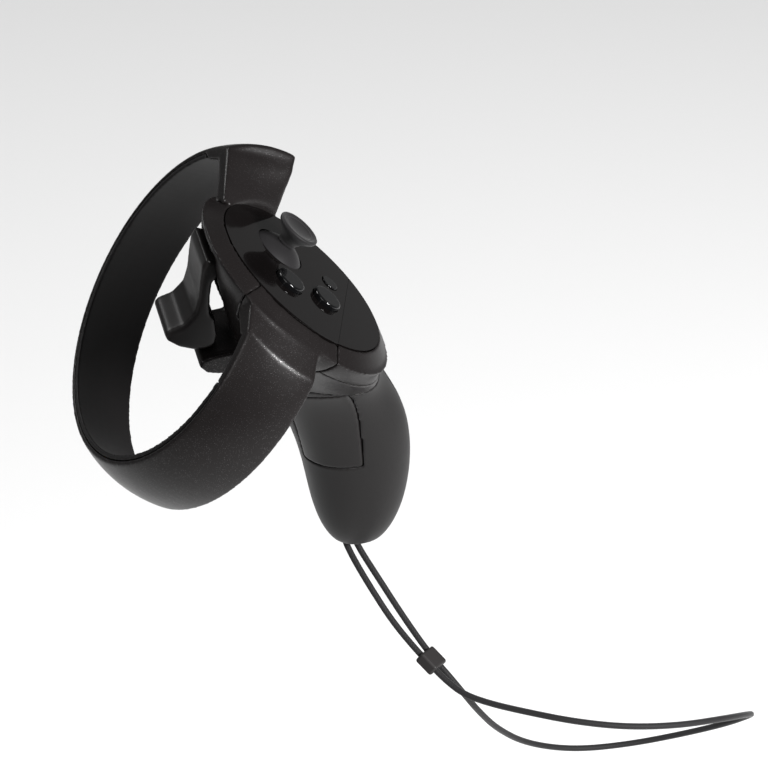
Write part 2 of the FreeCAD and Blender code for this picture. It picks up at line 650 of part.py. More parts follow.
def main_board():
    half_x, half_y = MAIN_BOARD_SIZE[0] / 2, MAIN_BOARD_SIZE[1] / 2
    centre = -11.0
    low = (-half_x, centre - half_y, -MAIN_BOARD_DEPTH - 1.0)
    board = block(low, (half_x, centre + half_y, -MAIN_BOARD_DEPTH))
    chips = [block((-5, -16, -MAIN_BOARD_DEPTH), (3, -8, -MAIN_BOARD_DEPTH + 0.9)),
             block((6, -20, -MAIN_BOARD_DEPTH), (11, -14, -MAIN_BOARD_DEPTH + 0.8)),
             block((-12, -22, -MAIN_BOARD_DEPTH), (-7, -18, -MAIN_BOARD_DEPTH + 1.2))]
    bracket_room = grip_block((-17.0, 9.6, 22.4), (10.2, 18.0, 31.6))
    return largest(cut(common(placed(fuse([board] + chips), PLATE), body_loft(WALL + GAP)), [bracket_room]))


# ---- thumbstick, drawn about its pivot ----
def stick_case():
    half = STICK_CASE / 2
    wall = 1.2
    corners = rod(CASE_CORNER_RADIUS, (0, 0, -6), (0, 0, 1), 10)
    box = common(block((-half, -half, -5.4), (half, half, 2.6)), corners)
    room = block((-half + wall, -half + wall, -4.4), (half - wall, half - wall, 10))
    holes = [rod(1.1 + PIN_GAP, (-half - 1, 0, 0), (1, 0, 0), STICK_CASE + 2),
             rod(1.1 + PIN_GAP, (0, -half - 1, 0), (0, 1, 0), STICK_CASE + 2)]
    return placed(largest(cut(box, [room] + holes)), STICK)


def stick_yoke():
    """The lower yoke: turns about X and carries the tilt block inside it."""
    frame = cut(block((-5.4, -4.2, -1.6), (5.4, 4.2, 1.6)), [block((-3.6, -2.9, -5), (3.6, 2.9, 5))])
    pins = [rod(1.1, (5.3, 0, 0), (1, 0, 0), 2.6), rod(1.1, (-5.3, 0, 0), (-1, 0, 0), 2.6)]
    hole = rod(0.8 + PIN_GAP, (0, -6, 0), (0, 1, 0), 12)
    return placed(largest(cut(fuse([frame] + pins), [hole])), STICK)


def stick_block():
    """The tilt block: turns about Y in the yoke and guides the shaft."""
    barrel = rod(2.5, (0, -2.6, 0), (0, 1, 0), 5.2)
    pins = rod(0.8, (0, -4.1, 0), (0, 1, 0), 8.2)
    bore = rod(STICK_SHAFT_RADIUS + PIN_GAP, (0, 0, -5), (0, 0, 1), 10)
    return placed(largest(cut(barrel.fuse(pins), [bore]).removeSplitter()), STICK)


def stick_arch():
    """The upper arch: turns about Y, slotted so that the shaft can swing fore and aft."""
    ring = cut(rod(6.4, (-2.3, 0, 0), (1, 0, 0), 4.6), [rod(5.2, (-3, 0, 0), (1, 0, 0), 6)])
    ring = cut(ring, [block((-5, -8, -8), (5, 8, -1.4))])
    half = STICK_SHAFT_RADIUS + SLOT_GAP
    slot = block((-half, -3.8, 0), (half, 3.8, 8))
    pins = [rod(1.1, (0, 5.6, 0), (0, 1, 0), 2.3), rod(1.1, (0, -5.6, 0), (0, -1, 0), 2.3)]
    return placed(largest(fuse([cut(ring, [slot])] + pins)), STICK)


def stick_shaft():
    return placed(rod(STICK_SHAFT_RADIUS, (0, 0, SHAFT_FOOT), (0, 0, 1), SHAFT_TOP - SHAFT_FOOT), STICK)


def stick_dome():
    outer_ball = Part.makeSphere(STICK_DOME_RADIUS)
    inner_ball = Part.makeSphere(STICK_DOME_RADIUS - 1.0)
    hub = rod(STICK_WAIST_RADIUS - 0.2, (0, 0, 8.0), (0, 0, 1), 5.6)
    cup = cut(cut(outer_ball, [inner_ball]), [block((-20, -20, -20), (20, 20, DOME_SKIRT))])
    bore = rod(STICK_SHAFT_RADIUS, (0, 0, 0), (0, 0, 1), 13.0)
    hub = common(hub, rod(10, (0, 0, 8.0), (0, 0, 1), STICK_DOME_RADIUS - 8.2))
    return placed(largest(cut(cup.fuse(hub), [bore]).removeSplitter()), STICK)


def stick_cap():
    """Rubber cap: a flared cone with a dished top, over the end of the shaft."""
    top = STICK_HEIGHT + STICK_PIVOT_DEPTH
    low = STICK_DOME_RADIUS + 0.02
    rim = STICK_CAP_RADIUS
    waist = STICK_WAIST_RADIUS
    underside = ((waist + 0.1, low), (waist, low + 0.9), (waist + 0.6, low + 1.9), (waist + 1.6, low + 2.9))
    lip = ((rim - 0.4, top - 1.3), (rim, top - 0.8), (rim - 0.1, top - 0.3), (rim - 0.8, top))
    dish = ((rim - 2.2, top - 0.6), (rim - 4.5, top - 1.05), (0.0, top - 1.2))
    socket = ((0.0, SHAFT_TOP), (STICK_SHAFT_RADIUS, SHAFT_TOP), (STICK_SHAFT_RADIUS, low))
    profile = underside + ((rim - 1.1, low + 4.0),) + lip + dish + socket
    return placed(turned([(x, 0, z) for x, z in profile]), STICK)


def stick_spring():
    """Centres the shaft; it stands on the case's floor under the shaft's foot."""
    place = STICK.multiply(Placement(v(0, 0, -4.1), Rotation()))
    return coil(2.0, 0.4, 0.55, 0.75, place)


# ---- handle internals ----
def cell_tube():
    radius = CELL_RADIUS + 0.2
    low = CELL_BOTTOM - 3.0
    high = CELL_BOTTOM + CELL_LENGTH + 1.6
    x, y = CELL_AXIS
    tube = rod(radius + TUBE_WALL, (x, y, low), (0, 0, 1), high - low)
    room = rod(radius, (x, y, low + 1.0), (0, 0, 1), high - low - 2.0)
    mouth = block((x + 3.0, -20, low + 1.0), (30, 20, high - 1.0))
    return largest(cut(tube, [room, mouth]))


def battery_cell():
    x, y = CELL_AXIS
    can = rod(CELL_RADIUS, (x, y, CELL_BOTTOM), (0, 0, 1), CELL_LENGTH - 1.2)
    tip = rod(2.7, (x, y, CELL_BOTTOM), (0, 0, 1), CELL_LENGTH)
    return can.fuse(tip).removeSplitter()


def contact_plate():
    x, y = CELL_AXIS
    return rod(4.0, (x, y, CELL_BOTTOM + CELL_LENGTH + 0.05), (0, 0, 1), 0.5)


def contact_spring():
    x, y = CELL_AXIS
    return coil(3.0, 0.4, 0.55, 1.2, Placement(v(x, y, CELL_BOTTOM - 1.65), Rotation()))


def cover_opening(margin):
    half = COVER_HALF_WIDTH + margin
    return block((3.0, -half, COVER_BOTTOM - margin), (40, half, COVER_TOP + margin))


def cover_magnets(length):
    return [rod(MAGNET_RADIUS, (x - length, y, z), (1, 0, 0), length) for x, y, z in COVER_MAGNETS]


def battery_cover(outer):
    cover = common(cut(outer, [body_loft(WALL)]), cover_opening(0.0))
    return largest(cut(cover, cover_magnets(MAGNET_HOLE_LENGTH)))


def haptic_motor():
    body = rod(MOTOR_RADIUS, (-0.5, 14.0, 28.0), (1, 0, 0), MOTOR_LENGTH)
    boss = rod(1.6, (-1.3, 14.0, 28.0), (1, 0, 0), MOTOR_LENGTH + 1.6)
    return body.fuse(boss).removeSplitter()


def case_bosses(side):
    """Screw bosses of one half of the handle: side is -1 on the left and 1 on the right."""
    made = []
    for y, z in CASE_SCREWS:
        start = (0.0, y, z)
        made.append(rod(CASE_BOSS_RADIUS, start, (side, 0, 0), 30))
    return made


def lanyard_slot():
    half = CORD_DIAMETER / 2 + 0.6
    y, _ = ANCHOR_PLACE
    reach = 1.6
    low = (-half - 0.5, y - reach, HANDLE_BOTTOM - 5)
    middle = block(low, (half - 0.5, y + reach, HANDLE_BOTTOM + 6))
    ends = [rod(half, (-0.5, y + side * reach, HANDLE_BOTTOM - 5), (0, 0, 1), 11) for side in (-1, 1)]
    return fuse([middle] + ends)


def anchor_pin():
    y, z = ANCHOR_PLACE
    return rod(ANCHOR_RADIUS, (-5.0, y, z), (1, 0, 0), 9.0)


def anchor_posts():
    y, z = ANCHOR_PLACE
    posts = []
    for low, high in ((-5.0, -2.6), (1.6, 4.0)):
        posts.append(block((low, y - 2.2, HANDLE_BOTTOM + 1.0), (high, y + 2.2, z + 0.9)))
    return posts


def handle_half(side, shell, hollow):
    low = (-60, -60, -80) if side < 0 else (0, -60, -80)
    high = (0, 60, 90) if side < 0 else (60, 60, 90)
    region = block(low, high)
    walls = cut(common(shell, below_split(SEAT_GAP)), [ring_flank_zone(), rear_zone()])
    bosses = [common(common(boss, hollow), below_split(0.3)) for boss in case_bosses(side)]
    posts = [common(post, region) for post in anchor_posts() if common(post, region).Volume > 0.5]
    half = common(walls, region)
    half = half.fuse(bosses + posts)
    cuts = [lanyard_slot(), grip_opening(GAP), cover_opening(SEAT_GAP)]
    for y, z in CASE_SCREWS:
        if side > 0:
            cuts.append(rod(SCREW_RADIUS + 0.1, (-1, y, z), (1, 0, 0), 12))
            cuts.append(rod(SCREW_HEAD_RADIUS + 0.2, (5.0, y, z), (1, 0, 0), 40))
        else:
            cuts.append(rod(SCREW_RADIUS, (-5.5, y, z), (1, 0, 0), 7))
    y, z = ANCHOR_PLACE
    cuts.append(rod(ANCHOR_RADIUS, (-5.0, y, z), (1, 0, 0), 9.0))
    return largest(cut(half, cuts))


def case_screws():
    return Part.makeCompound([screw((5.0, y, z), (-1, 0, 0), 9.0) for y, z in CASE_SCREWS])


# ---- lanyard ----
def cord_route():
    """The lanyard's points, hung from the handle's foot."""
    drop = HANDLE_BOTTOM - CORD_FOOT
    return [(x, y, z + drop) for x, y, z in CORD_POINTS]


def cord_path(points):
    """Straight runs joined by tangent arcs, each as large as its two runs allow."""
    points = [v(*p) for p in points]
    edges = []
    start = points[0]
    tightest = None
    for before, corner, after in zip(points, points[1:], points[2:]):
        back = before.sub(corner)
        ahead = after.sub(corner)
        reach = 0.45 * min(back.Length, ahead.Length)
        back.normalize()
        ahead.normalize()
        turn = math.pi - back.getAngle(ahead)
        radius = reach / math.tan(turn / 2)
        tightest = radius if tightest is None else min(tightest, radius)
        first = corner.add(back.multiply(reach))
        last = corner.add(ahead.multiply(reach))
        bisector = first.add(last).multiply(0.5).sub(corner)
        to_centre = radius / math.cos(turn / 2)
        bisector.normalize()
        middle = corner.add(bisector.multiply(to_centre - radius))
        edges.append(Part.makeLine(start, first))
        edges.append(Part.Arc(first, middle, last).toShape())
        start = last
    edges.append(Part.makeLine(start, points[-1]))
    return Part.Wire(edges), tightest


def lanyard_cord():
    route = cord_route()
    wire, tightest = cord_path(route)
    start = v(*route[0])
    along = v(*route[1]).sub(start)
    profile = Part.Wire(Part.makeCircle(CORD_DIAMETER / 2, start, along))
    tube = wire.makePipeShell([profile], True, True)
    section_area = math.pi * (CORD_DIAMETER / 2) ** 2
    print("cord: length", round(wire.Length, 1), "tightest radius", round(tightest, 1),
          "volume share", round(tube.Volume / (section_area * wire.Length), 4))
    return tube


def slider_place():
    route = cord_route()
    left, right = v(*route[SLIDER_LEFT]), v(*route[SLIDER_RIGHT])
    along = v(*route[SLIDER_LEFT + 1]).sub(v(*route[SLIDER_LEFT - 1]))
    across = right.sub(left)
    middle = left.add(right).multiply(0.5)
    return Placement(middle, Rotation(across, v(0, 0, 0), along, "ZXY"))


def lanyard_slider():
    """A rounded bead with one channel for each strand."""
    wide, thick, tall = SLIDER_SIZE
    bead = block((-wide / 2, -thick / 2, -tall / 2), (wide / 2, thick / 2, tall / 2))
    bead = bead.makeFillet(0.9, bead.Edges)
    bead = placed(bead, slider_place())
    route = cord_route()
    wire, _ = cord_path(route)
    start = v(*route[0])
    along = v(*route[1]).sub(start)
    profile = Part.Wire(Part.makeCircle(CORD_DIAMETER / 2 + SLIDER_GAP, start, along))
    return largest(cut(bead, [wire.makePipeShell([profile], True, True)]))


# ---- everything ----
def build():
    outer = body_loft(0.0).fuse(rim_cone())
    hollow = casing_cavity()
    shell = cut(outer, [hollow])
    nodes = {}
    nodes["ring_outer_shell"], nodes["ring_inner_shell"] = ring_pieces(outer, hollow, shell)
    nodes["ring_circuit"] = ring_circuit()
    nodes["ring_emitters"] = ring_emitters()

    nodes["head_shell"] = head_shell(shell, hollow)
    nodes["rear_bezel"] = largest(common(shell, rear_zone()))
    nodes["trigger_well"] = trigger_well()
    nodes["index_trigger"] = index_trigger()
    nodes["index_trigger_pin"] = index_trigger_pin()
    nodes["index_trigger_spring"] = torsion_spring()
    nodes["index_trigger_magnet"] = rod(1.5, MAGNET_START, (0, 0, 1), 2.0)

    nodes["face_plate"], nodes["thumb_rest"] = face_pieces()
    for name, (place, radius, height) in all_buttons().items():
        nodes[name] = button(radius, height, place)
    nodes["button_membrane"] = button_membrane()
    nodes["face_board"] = face_board()
    nodes["face_screws"] = face_screws()
    nodes["main_board"] = main_board()

    nodes["stick_case"] = stick_case()
    nodes["stick_yoke"] = stick_yoke()
    nodes["stick_block"] = stick_block()
    nodes["stick_arch"] = stick_arch()
    nodes["stick_shaft"] = stick_shaft()
    nodes["stick_dome"] = stick_dome()
    nodes["stick_cap"] = stick_cap()
    nodes["stick_spring"] = stick_spring()

    nodes["handle_left"] = handle_half(-1, shell, hollow)
    nodes["handle_right"] = handle_half(1, shell, hollow)
    nodes["case_screws"] = case_screws()
    nodes["grip_trigger"] = grip_trigger(outer)
    nodes["grip_trigger_bracket"] = grip_bracket()
    nodes["grip_trigger_pin"] = grip_rod(GRIP_PIN_RADIUS, 9.2)
    nodes["grip_trigger_spring"] = grip_spring()
    nodes["grip_trigger_magnet"] = placed(rod(1.5, (0, 13.0, 4.5), (0, 1, 0), 2.0), GRIP)

    nodes["cell_tube"] = cell_tube()
    nodes["battery_cell"] = battery_cell()
    nodes["contact_plate"] = contact_plate()
    nodes["contact_spring"] = contact_spring()
    nodes["battery_cover"] = battery_cover(outer)
    nodes["battery_cover_magnets"] = Part.makeCompound(cover_magnets(MAGNET_LENGTH))
    nodes["haptic_motor"] = haptic_motor()

    nodes["anchor_pin"] = anchor_pin()
    nodes["lanyard_cord"] = lanyard_cord()
    nodes["lanyard_slider"] = lanyard_slider()
    return nodes


def main():
    os.makedirs(OUT, exist_ok=True)
    for name, shape in build().items():
        shape.exportStep(os.path.join(OUT, name + ".step"))
        print(name, shape.isValid(), len(shape.Solids), round(shape.Volume, 1))


main()
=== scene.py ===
"""Ring-type motion controller for the right hand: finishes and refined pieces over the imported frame."""

import json
import logging
import math
from dataclasses import dataclass, field
from enum import Enum

import bpy
from mathutils import Matrix, Quaternion, Vector

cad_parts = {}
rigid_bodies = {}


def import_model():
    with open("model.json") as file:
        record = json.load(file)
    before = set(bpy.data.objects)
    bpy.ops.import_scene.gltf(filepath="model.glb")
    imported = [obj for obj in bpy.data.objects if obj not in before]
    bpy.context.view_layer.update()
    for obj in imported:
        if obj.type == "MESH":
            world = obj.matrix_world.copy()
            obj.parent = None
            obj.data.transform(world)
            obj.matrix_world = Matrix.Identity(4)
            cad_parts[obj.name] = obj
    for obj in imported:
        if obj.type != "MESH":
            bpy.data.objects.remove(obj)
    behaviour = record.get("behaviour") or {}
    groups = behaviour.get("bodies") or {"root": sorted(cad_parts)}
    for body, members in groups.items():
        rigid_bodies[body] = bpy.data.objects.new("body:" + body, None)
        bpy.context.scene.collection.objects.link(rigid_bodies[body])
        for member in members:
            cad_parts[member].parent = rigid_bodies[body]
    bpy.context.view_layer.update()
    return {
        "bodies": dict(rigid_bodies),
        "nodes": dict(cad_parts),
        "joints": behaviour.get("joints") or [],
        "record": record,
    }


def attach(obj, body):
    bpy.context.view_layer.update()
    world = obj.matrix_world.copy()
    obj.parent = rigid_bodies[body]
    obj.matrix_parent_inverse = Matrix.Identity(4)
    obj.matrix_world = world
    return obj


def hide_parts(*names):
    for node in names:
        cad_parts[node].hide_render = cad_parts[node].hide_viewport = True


LOG = logging.getLogger("controller")

Point = tuple[float, float, float]
Colour = tuple[float, float, float]

MM_PER_M = 1000
SHARP_EDGE = 60.0  # degrees; softened pieces shade smooth below this


class Body(Enum):
    """Bodies of the frame that pieces ride on."""

    HOUSING = "housing"
    STICK = "stick"
    INDEX = "index_trigger"
    GRIP = "grip_trigger"
    COVER = "battery_cover"


# ---------------------------------------------------------------- shader node helpers
class Wiring:
    """Adds and joins nodes in one node tree."""

    def __init__(self, tree: bpy.types.NodeTree) -> None:
        """Works on the given tree."""
        self.tree = tree

    def node(self, kind: str, **settings: object) -> bpy.types.Node:
        """Adds a node.

        Args:
            kind: the node's type name.
            settings: attributes to set on it.

        Returns:
            The new node.
        """
        made = self.tree.nodes.new(kind)
        for name, value in settings.items():
            setattr(made, name, value)
        return made

    def join(self, source: bpy.types.NodeSocket, target: bpy.types.NodeSocket) -> None:
        """Links two sockets."""
        self.tree.links.new(source, target)

    def maths(self, operation: str, first: object, second: object = 0.0) -> bpy.types.NodeSocket:
        """Adds a Math node.

        Args:
            operation: the operation's name.
            first: a socket or a number.
            second: a socket or a number.

        Returns:
            The node's output socket.
        """
        made = self.node("ShaderNodeMath", operation=operation)
        for socket, value in zip(made.inputs, (first, second)):
            if isinstance(value, bpy.types.NodeSocket):
                self.join(value, socket)
            else:
                socket.default_value = value
        return made.outputs[0]


def new_group(name: str, inputs: dict[str, float], outputs: dict[str, str]) -> tuple[Wiring, object, object]:
    """Starts a shader node group.

    Args:
        name: the group's name.
        inputs: float inputs and their defaults, after a Vector input.
        outputs: each output's name and socket type.

    Returns:
        The wiring, the input node and the output node.
    """
    tree = bpy.data.node_groups.new(name, "ShaderNodeTree")
    tree.interface.new_socket(name="Vector", in_out="INPUT", socket_type="NodeSocketVector")
    for label, value in inputs.items():
        socket = tree.interface.new_socket(name=label, in_out="INPUT", socket_type="NodeSocketFloat")
        socket.default_value = value
    for label, kind in outputs.items():
        tree.interface.new_socket(name=label, in_out="OUTPUT", socket_type=kind)
    wiring = Wiring(tree)
    return wiring, wiring.node("NodeGroupInput"), wiring.node("NodeGroupOutput")


class Effects:
    """Node groups that several finishes share."""

    def __init__(self) -> None:
        """Builds every group once."""
        self.grain = self._grain()
        self.sparkle = self._sparkle()
        self.handling = self._handling()
        self.braid = self._braid()

    def _grain(self) -> bpy.types.NodeTree:
        """Fine moulded texture: two sizes of noise as one height."""
        wiring, entry, leave = new_group("moulded_grain", {"Scale": 2500.0, "Coarse": 0.35},
                                         {"Height": "NodeSocketFloat"})
        fine = wiring.node("ShaderNodeTexNoise")
        fine.inputs["Detail"].default_value = 3.0
        wiring.join(entry.outputs["Vector"], fine.inputs["Vector"])
        wiring.join(entry.outputs["Scale"], fine.inputs["Scale"])
        coarse = wiring.node("ShaderNodeTexNoise")
        coarse.inputs["Detail"].default_value = 2.0
        wiring.join(entry.outputs["Vector"], coarse.inputs["Vector"])
        wiring.join(wiring.maths("MULTIPLY", entry.outputs["Scale"], 0.12), coarse.inputs["Scale"])
        mixed = wiring.maths("MULTIPLY", coarse.outputs["Fac"], entry.outputs["Coarse"])
        wiring.join(wiring.maths("ADD", fine.outputs["Fac"], mixed), leave.inputs["Height"])
        return wiring.tree

    def _sparkle(self) -> bpy.types.NodeTree:
        """Scattered flakes in a satin plastic: a mask that is 1 on a flake."""
        wiring, entry, leave = new_group("metal_flake", {"Scale": 5200.0, "Share": 0.1},
                                         {"Mask": "NodeSocketFloat"})
        cells = wiring.node("ShaderNodeTexVoronoi")
        wiring.join(entry.outputs["Vector"], cells.inputs["Vector"])
        wiring.join(entry.outputs["Scale"], cells.inputs["Scale"])
        split = wiring.node("ShaderNodeSeparateColor")
        wiring.join(cells.outputs["Color"], split.inputs[0])
        chosen = wiring.maths("LESS_THAN", split.outputs[0], entry.outputs["Share"])
        inside = wiring.maths("LESS_THAN", cells.outputs["Distance"], 0.42)
        wiring.join(wiring.maths("MULTIPLY", chosen, inside), leave.inputs["Mask"])
        return wiring.tree

    def _handling(self) -> bpy.types.NodeTree:
        """Large soft patches where a hand has polished or smudged the surface."""
        wiring, entry, leave = new_group("handling_marks", {"Scale": 60.0, "Contrast": 0.5},
                                         {"Mask": "NodeSocketFloat"})
        patches = wiring.node("ShaderNodeTexNoise")
        patches.inputs["Detail"].default_value = 5.0
        patches.inputs["Roughness"].default_value = 0.6
        patches.inputs["Distortion"].default_value = 0.4
        wiring.join(entry.outputs["Vector"], patches.inputs["Vector"])
        wiring.join(entry.outputs["Scale"], patches.inputs["Scale"])
        centred = wiring.maths("SUBTRACT", patches.outputs["Fac"], 0.5)
        wiring.join(wiring.maths("MULTIPLY", centred, entry.outputs["Contrast"]), leave.inputs["Mask"])
        return wiring.tree

    def _braid(self) -> bpy.types.NodeTree:
        """Two crossing sets of yarns on a tube whose UV runs round it and along it."""
        wiring, entry, leave = new_group("round_braid", {"Yarns": 4.0, "Pitch": 1.0},
                                         {"Height": "NodeSocketFloat"})
        parts = wiring.node("ShaderNodeSeparateXYZ")
        wiring.join(entry.outputs["Vector"], parts.inputs[0])
        round_it = wiring.maths("MULTIPLY", parts.outputs[0], entry.outputs["Yarns"])
        along = wiring.maths("MULTIPLY", parts.outputs[1], entry.outputs["Pitch"])
        ridges = []
        for operation in ("ADD", "SUBTRACT"):
            phase = wiring.maths("MULTIPLY", wiring.maths(operation, round_it, along), 2 * math.pi)
            ridges.append(wiring.maths("ABSOLUTE", wiring.maths("SINE", phase)))
        wiring.join(wiring.maths("MAXIMUM", *ridges), leave.inputs["Height"])
        return wiring.tree


# ---------------------------------------------------------------- finishes
@dataclass(frozen=True)
class Finish:
    """One material.

    The colour varies by tone, the roughness by wear, and the grain stands up by relief metres.
    """

    name: str
    slot: str
    colour: Colour
    roughness: float
    metallic: float = 0.0
    specular: float = 0.14
    coat: float = 0.0
    tone: float = 0.12
    wear: float = 0.12
    wear_scale: float = 60.0
    grain: float = 2500.0
    relief: float = 0.000004
    flakes: float = 0.0
    sheen: float = 0.0

    def build(self, effects: Effects) -> bpy.types.Material:
        """Makes the material's nodes.

        Args:
            effects: the shared node groups.

        Returns:
            The material.
        """
        material = bpy.data.materials.new(self.name)
        material.use_nodes = True
        wiring = Wiring(material.node_tree)
        shader = material.node_tree.nodes["Principled BSDF"]
        shader.inputs["Specular IOR Level"].default_value = self.specular
        shader.inputs["Sheen Weight"].default_value = self.sheen
        shader.inputs["Coat Weight"].default_value = self.coat
        shader.inputs["Coat Roughness"].default_value = 0.04
        place = wiring.node("ShaderNodeTexCoord").outputs["Object"]
        marks = self._group(wiring, effects.handling, place, Scale=self.wear_scale, Contrast=1.0)
        self._colour(wiring, effects, shader, place, marks.outputs["Mask"])
        rough = wiring.maths("MULTIPLY", marks.outputs["Mask"], self.wear)
        rough = wiring.maths("ADD", rough, self.roughness)
        wiring.join(rough, shader.inputs["Roughness"])
        self._relief(wiring, effects, shader, place)
        return material

    def _group(self, wiring: Wiring, tree: bpy.types.NodeTree, place: bpy.types.NodeSocket,
               **values: float) -> bpy.types.Node:
        """Places a shared group with its own values."""
        made = wiring.node("ShaderNodeGroup", node_tree=tree)
        wiring.join(place, made.inputs["Vector"])
        for label, value in values.items():
            made.inputs[label].default_value = value
        return made

    def _colour(self, wiring: Wiring, effects: Effects, shader: bpy.types.Node,
                place: bpy.types.NodeSocket, marks: bpy.types.NodeSocket) -> None:
        """Base colour and metalness, with patches of tone and, where asked, flakes."""
        mix = wiring.node("ShaderNodeMix", data_type="RGBA")
        darker = tuple(c * (1 - self.tone) for c in self.colour)
        lighter = tuple(c * (1 + self.tone) for c in self.colour)
        mix.inputs["A"].default_value = (*darker, 1.0)
        mix.inputs["B"].default_value = (*lighter, 1.0)
        wiring.join(wiring.maths("ADD", marks, 0.5), mix.inputs["Factor"])
        colour = mix.outputs["Result"]
        if self.flakes > 0:
            flakes = self._group(wiring, effects.sparkle, place, Share=self.flakes)
            glint = wiring.node("ShaderNodeMix", data_type="RGBA")
            glint.inputs["B"].default_value = (0.085, 0.08, 0.082, 1.0)
            wiring.join(flakes.outputs["Mask"], glint.inputs["Factor"])
            wiring.join(colour, glint.inputs["A"])
            colour = glint.outputs["Result"]
            wiring.join(flakes.outputs["Mask"], shader.inputs["Metallic"])
        else:
            shader.inputs["Metallic"].default_value = self.metallic
        wiring.join(colour, shader.inputs["Base Color"])

    def _relief(self, wiring: Wiring, effects: Effects, shader: bpy.types.Node,
                place: bpy.types.NodeSocket) -> None:
        """Fine bump."""
        grain = self._group(wiring, effects.grain, place, Scale=self.grain)
        bump = wiring.node("ShaderNodeBump")
        bump.inputs["Distance"].default_value = self.relief
        wiring.join(grain.outputs["Height"], bump.inputs["Height"])
        wiring.join(bump.outputs["Normal"], shader.inputs["Normal"])


@dataclass(frozen=True)
class BraidFinish(Finish):
    """Braided cord, whose relief follows the tube's own UV."""

    def _relief(self, wiring: Wiring, effects: Effects, shader: bpy.types.Node,
                place: bpy.types.NodeSocket) -> None:
        """Yarns of the braid as bump."""
        lay = wiring.node("ShaderNodeUVMap", uv_map="braid").outputs["UV"]
        braid = self._group(wiring, effects.braid, lay)
        bump = wiring.node("ShaderNodeBump")
        bump.inputs["Distance"].default_value = self.relief
        wiring.join(braid.outputs["Height"], bump.inputs["Height"])
        wiring.join(bump.outputs["Normal"], shader.inputs["Normal"])


FINISHES: tuple[Finish, ...] = (
    Finish("satin_black", "satin_black", (0.0055, 0.0046, 0.0046), 0.34, tone=0.2, wear=0.14, flakes=0.09,
           relief=0.000007, grain=2600.0),
    Finish("infrared_black", "infrared_black", (0.0045, 0.004, 0.0041), 0.5, wear=0.1, relief=0.000006),
    Finish("flex_film", "flex_film", (0.30, 0.13, 0.03), 0.35),
    Finish("emitter", "emitter", (0.5, 0.52, 0.56), 0.12),
    Finish("inner_plastic", "inner_plastic", (0.007, 0.007, 0.0075), 0.5),
    Finish("trigger_satin", "trigger_satin", (0.005, 0.0044, 0.0044), 0.34, wear=0.16, wear_scale=90.0),
    Finish("steel", "steel", (0.56, 0.56, 0.58), 0.25, metallic=1.0),
    Finish("spring_steel", "spring_steel", (0.46, 0.46, 0.48), 0.32, metallic=1.0),
    Finish("screw_steel", "screw_steel", (0.10, 0.10, 0.105), 0.4, metallic=1.0),
    Finish("magnet", "magnet", (0.7, 0.7, 0.72), 0.12, metallic=1.0),
    Finish("face_gloss", "face_gloss", (0.0022, 0.0018, 0.0018), 0.07, tone=0.1, wear=0.06, wear_scale=45.0,
           relief=0.0000003, grain=900.0, specular=0.16),
    Finish("button_gloss", "button_gloss", (0.002, 0.002, 0.0022), 0.09, wear=0.06, relief=0.0000003,
           grain=900.0, specular=0.3),
    Finish("membrane", "membrane", (0.28, 0.29, 0.30), 0.7),
    Finish("board", "board", (0.008, 0.055, 0.022), 0.35),
    Finish("module_plastic", "module_plastic", (0.52, 0.52, 0.5), 0.5),
    Finish("dome_plastic", "dome_plastic", (0.010, 0.0095, 0.010), 0.42),
    Finish("stick_rubber", "stick_rubber", (0.0062, 0.0058, 0.0062), 0.6, relief=0.00002, grain=1600.0,
           sheen=0.08),
    Finish("handle_plastic", "handle_plastic", (0.0055, 0.005, 0.005), 0.46, relief=0.000012, grain=1800.0,
           tone=0.15, wear=0.12),
    Finish("cell_jacket", "cell_jacket", (0.015, 0.04, 0.085), 0.3),
    Finish("contact", "contact", (0.66, 0.52, 0.26), 0.3, metallic=1.0),
    Finish("motor_can", "motor_can", (0.45, 0.45, 0.46), 0.3, metallic=1.0),
    BraidFinish("cord_braid", "cord_braid", (0.0065, 0.0062, 0.0066), 0.6, relief=0.00006, sheen=0.1),
    Finish("slider_plastic", "slider_plastic", (0.016, 0.0148, 0.0148), 0.48, relief=0.00001),
)


class Palette:
    """The finishes by slot name."""

    def __init__(self) -> None:
        """Builds every material."""
        effects = Effects()
        self.materials = {finish.slot: finish.build(effects) for finish in FINISHES}

    def dress(self, piece: bpy.types.Object, slot: str) -> None:
        """Gives a piece one finish."""
        piece.data.materials.clear()
        piece.data.materials.append(self.materials[slot])

    def dress_nodes(self, frame: dict) -> None:
        """Gives every CAD node its slot's finish."""
        for entry in frame["record"]["subparts"]:
            self.dress(frame["nodes"][entry["node"]], entry["material_slot"])


